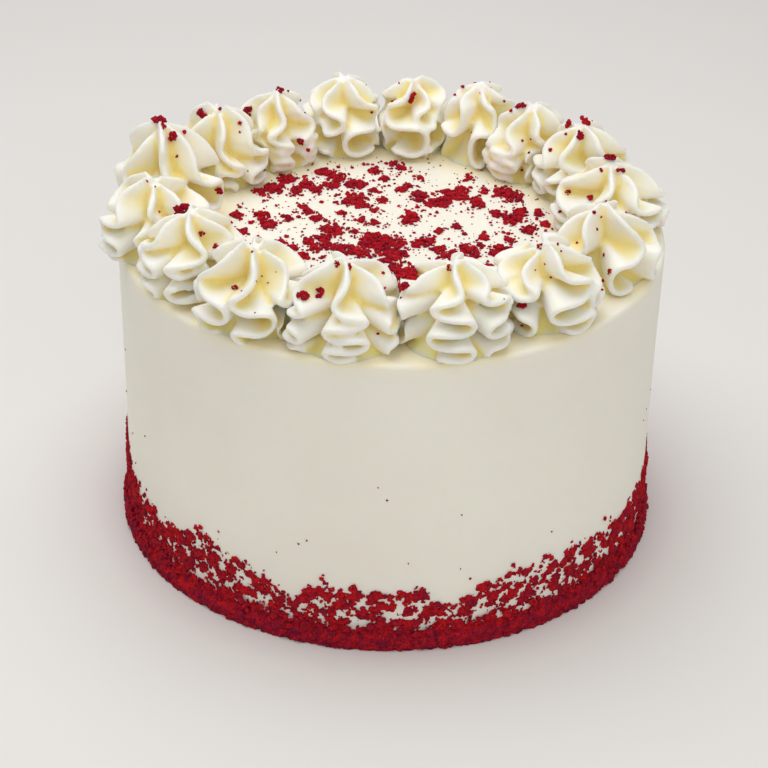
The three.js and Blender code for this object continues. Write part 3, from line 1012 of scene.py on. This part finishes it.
class CAKE_OT_crumb_top(Operator):
    """Scatter crumbs in loose patches over the iced top"""

    bl_idname = "cake.crumb_top"
    bl_label = "Crumb the top"

    def execute(self, context):
        sizes = context.scene.crumb_sizes
        level = context.scene.cake_sizes.cake_height / MM
        limit = sizes.top_limit / MM
        heap = CrumbHeap(seed=81)
        chance = heap.chance
        for x, y, radius in TOP_PATCHES:
            for _ in range(int(6 + 4.6 * radius ** 2)):
                turn = 2.0 * math.pi * chance.random()
                away = radius * 1.3 * chance.random() ** 0.6
                size = 0.52 + 0.85 * chance.random() ** 1.6
                lift = 0.5 * chance.random() * max(0.0, radius - 1.1 * away)
                place = (x + away * math.cos(turn), y + 1.15 * away * math.sin(turn), level + lift)
                heap.add(place, UP, size, 0.3 + 0.65 * chance.random())
            for _ in range(int(8 + 3.5 * radius)):
                away = (1.2 + radius) * chance.normal(size=2)
                size = 0.35 + 0.65 * chance.random() ** 1.8
                self.drop(heap, (x + away[0], y + 1.2 * away[1], level), limit, size)
        for _ in range(sizes.top_count):
            turn = 2.0 * math.pi * chance.random()
            away = limit * math.sqrt(chance.random())
            size = 0.25 + 0.6 * chance.random() ** 2.5
            self.drop(heap, (away * math.cos(turn), away * math.sin(turn), level), limit, size)
        heap.build("top_crumbs", fine=0.92)
        return {"FINISHED"}

    def drop(self, heap, place, limit, size):
        """One single crumb, unless it would fall too near the dollops."""
        if math.hypot(place[0], place[1]) < limit:
            tone = 0.3 + 0.6 * heap.chance.random()
            heap.add(place, UP, size, tone)


def dollop_skins():
    """Search trees of the piped dollops, for laying crumbs on them."""
    graph = bpy.context.evaluated_depsgraph_get()
    names = [f"piped_dollop_{number + 1:02d}" for number in range(len(DOLLOPS))]
    return [BVHTree.FromObject(bpy.data.objects[name], graph) for name in names]


def first_hit(skins, start, direction):
    """Nearest point and outward direction that a line meets on the dollops."""
    nearest = None
    for skin in skins:
        place, out, _, away = skin.ray_cast(start, direction)
        if place is not None and (nearest is None or away < nearest[2]):
            nearest = (place, out, away)
    return nearest


def seen_spot(skins, across, down):
    """Where a viewer's line through a spot of the view meets a dollop, there or just below."""
    eye, ahead, right, up = viewpoint()
    middle = VIEW_WIDTH / 2.0
    for lower in range(0, 14, 2):
        line = ahead * FOCAL_LENGTH + right * (across - middle) + up * (middle - down - lower)
        hit = first_hit(skins, eye, line.normalized())
        if hit is not None:
            return hit
    return None


class CAKE_OT_crumb_dollops(Operator):
    """Drop crumbs on the dollops"""

    bl_idname = "cake.crumb_dollops"
    bl_label = "Crumb the dollops"

    def execute(self, context):
        skins = dollop_skins()
        heap = CrumbHeap(seed=91)
        largest_single = 5
        for across, down, width in CREAM_FLECKS:
            hit = seen_spot(skins, across, down)
            if hit is None:
                continue
            place, out, away = hit
            size = 0.5 * width * away / FOCAL_LENGTH / MM
            tone = 0.35 + 0.45 * heap.chance.random()
            if width > largest_single:
                heap.clump(place / MM, out, 1.25 * size, 4 + int(1.3 * width), tone)
            else:
                heap.add(place / MM, out, size * 0.8, tone)
        self.strew_far_side(heap, skins, context.scene.crumb_sizes.dollop_count)
        heap.build("dollop_crumbs", fine=0.8)
        return {"FINISHED"}

    def strew_far_side(self, heap, skins, tries):
        """Single crumbs that fell on the backs of the far dollops, save the first one."""
        above = 400.0              # height to look down from, mm
        chance = heap.chance
        far = [dollop for dollop in DOLLOPS if dollop.bearing < 180.0]
        for _ in range(tries):
            dollop = far[int(chance.integers(0, len(far)))]
            angle = math.radians(dollop.bearing)
            away = dollop.radius * 0.8 * math.sqrt(chance.random())
            turn = 2.0 * math.pi * chance.random()
            x = dollop.ring * math.cos(angle) + away * math.cos(turn)
            y = dollop.ring * math.sin(angle) + away * math.sin(turn)
            if chance.random() < 0.5 or dollop is DOLLOPS[0]:
                continue
            hit = first_hit(skins, Vector((x, y, above)) * MM, Vector(DOWN))
            if hit is None:
                continue
            place, out, _ = hit
            if out.y > -0.1:
                size = 0.4 + 0.7 * chance.random() ** 2
                tone = 0.4 + 0.4 * chance.random()
                heap.add(place / MM, out, size, tone)


class CAKE_OT_fleck_wall(Operator):
    """Leave a few stray crumbs on the smooth wall"""

    bl_idname = "cake.fleck_wall"
    bl_label = "Fleck the wall"

    def execute(self, context):
        radius = context.scene.cake_sizes.wall_radius / MM
        heap = CrumbHeap(seed=95)
        chance = heap.chance
        for _ in range(context.scene.crumb_sizes.wall_count):
            bearing = 360.0 * chance.random()
            height = band_top(bearing) + 4.0 + 60.0 * chance.random() ** 2.0
            angle = math.radians(bearing)
            out = (math.cos(angle), math.sin(angle), 0.0)
            size = 0.3 + 0.25 * chance.random()
            heap.add((radius * out[0], radius * out[1], height), out, size, 0.15 + 0.3 * chance.random())
        heap.build("wall_flecks", fine=0.5)
        return {"FINISHED"}


# ---- Stage ------------------------------------------------------------------

LIT_SPOT = Vector((0.0, 0.0, 0.09))   # the lights point at the middle of the cake, metres


def viewpoint():
    """Place of the eye in metres, and the directions ahead, right and up."""
    reach = WALL_RADIUS * MM
    rise = math.radians(EYE_RISE)
    away = EYE_AWAY * reach
    eye = Vector((0.0, -math.cos(rise) * away, math.sin(rise) * away))
    ahead = (Vector(EYE_AIM) * reach - eye).normalized()
    level_right = ahead.cross(Vector(UP)).normalized()
    roll = math.radians(EYE_ROLL)
    right = level_right * math.cos(roll) + level_right.cross(ahead) * math.sin(roll)
    return eye, ahead, right, right.cross(ahead)


class CAKE_OT_set_stage(Operator):
    """Set up the pale floor, the soft lights and the camera"""

    bl_idname = "cake.set_stage"
    bl_label = "Set the stage"

    def execute(self, context):
        scene = context.scene
        settings = scene.stage_sizes
        self.add_floor(scene)
        self.add_light("overhead", (-0.15, 0.15, 1.1), 1.1, settings.key_power)
        self.add_light("front", (0.35, -1.1, 0.8), 1.0, settings.fill_power)
        self.add_surroundings(scene, settings.sky)
        self.add_camera(scene)
        return {"FINISHED"}

    def add_floor(self, scene):
        reach = 12.0
        drop = 0.0002              # the floor lies this far under the cake's foot
        corners = [(-reach, -reach, 0), (reach, -reach, 0), (reach, reach, 0), (-reach, reach, 0)]
        floor_mesh = bpy.data.meshes.new("floor")
        floor_mesh.from_pydata(corners, [], [(0, 1, 2, 3)])
        floor_mesh.materials.append(floor_finish(scene.cake_colours))
        floor = bpy.data.objects.new("floor", floor_mesh)
        scene.collection.objects.link(floor)
        floor.location.z = -drop

    def add_surroundings(self, scene, strength):
        world = bpy.data.worlds.new("surroundings")
        world.use_nodes = True
        background = world.node_tree.nodes["Background"]
        background.inputs["Color"].default_value = (1.0, 0.985, 0.965, 1.0)
        background.inputs["Strength"].default_value = strength
        scene.world = world
        scene.view_settings.view_transform = "Standard"

    def add_camera(self, scene):
        lens = bpy.data.cameras.new("camera")
        lens.sensor_width = 36.0
        lens.lens = FOCAL_LENGTH / VIEW_WIDTH * lens.sensor_width
        camera = bpy.data.objects.new("camera", lens)
        eye, ahead, right, up = viewpoint()
        turned = Matrix((right, up, -ahead)).transposed().to_4x4()
        camera.matrix_world = Matrix.Translation(eye) @ turned
        scene.collection.objects.link(camera)
        scene.camera = camera

    def add_light(self, name, place, size, power):
        lamp = bpy.data.lights.new(name, "AREA")
        lamp.size = size
        lamp.energy = power
        light = bpy.data.objects.new(name, lamp)
        light.location = place
        aim = LIT_SPOT - Vector(place)
        light.rotation_euler = aim.to_track_quat("-Z", "Y").to_euler()
        bpy.context.scene.collection.objects.link(light)


# ---- Panel and registration -------------------------------------------------

STEPS = (
    CAKE_OT_ice_body,
    CAKE_OT_pipe_dollops,
    CAKE_OT_crumb_foot,
    CAKE_OT_crumb_top,
    CAKE_OT_crumb_dollops,
    CAKE_OT_fleck_wall,
    CAKE_OT_set_stage,
)
GROUPS = (
    ("cake_sizes", CakeSizes),
    ("dollop_sizes", DollopSizes),
    ("crumb_sizes", CrumbSizes),
    ("cake_colours", CakeColours),
    ("stage_sizes", StageSizes),
)


class CAKE_PT_panel(Panel):
    """Sizes, colours and steps of the cake"""

    bl_idname = "CAKE_PT_panel"
    bl_label = "Red velvet cake"
    bl_space_type = "VIEW_3D"
    bl_region_type = "UI"
    bl_category = "Cake"

    def draw(self, context):
        for name, group in GROUPS:
            box = self.layout.box()
            box.label(text=name.replace("_", " ").capitalize())
            for field in group.__annotations__:
                box.prop(getattr(context.scene, name), field)
        for step in STEPS:
            self.layout.operator(step.bl_idname)


def register():
    for _, group in GROUPS:
        bpy.utils.register_class(group)
    for step in STEPS:
        bpy.utils.register_class(step)
    bpy.utils.register_class(CAKE_PT_panel)
    for name, group in GROUPS:
        setattr(bpy.types.Scene, name, PointerProperty(type=group))


def unregister():
    for name, _ in GROUPS:
        delattr(bpy.types.Scene, name)
    bpy.utils.unregister_class(CAKE_PT_panel)
    for step in reversed(STEPS):
        bpy.utils.unregister_class(step)
    for _, group in reversed(GROUPS):
        bpy.utils.unregister_class(group)


def main():
    """Makes the whole cake."""
    register()
    for step in STEPS:
        group, name = step.bl_idname.split(".")
        getattr(getattr(bpy.ops, group), name)()


if __name__ == "__main__":
    main()
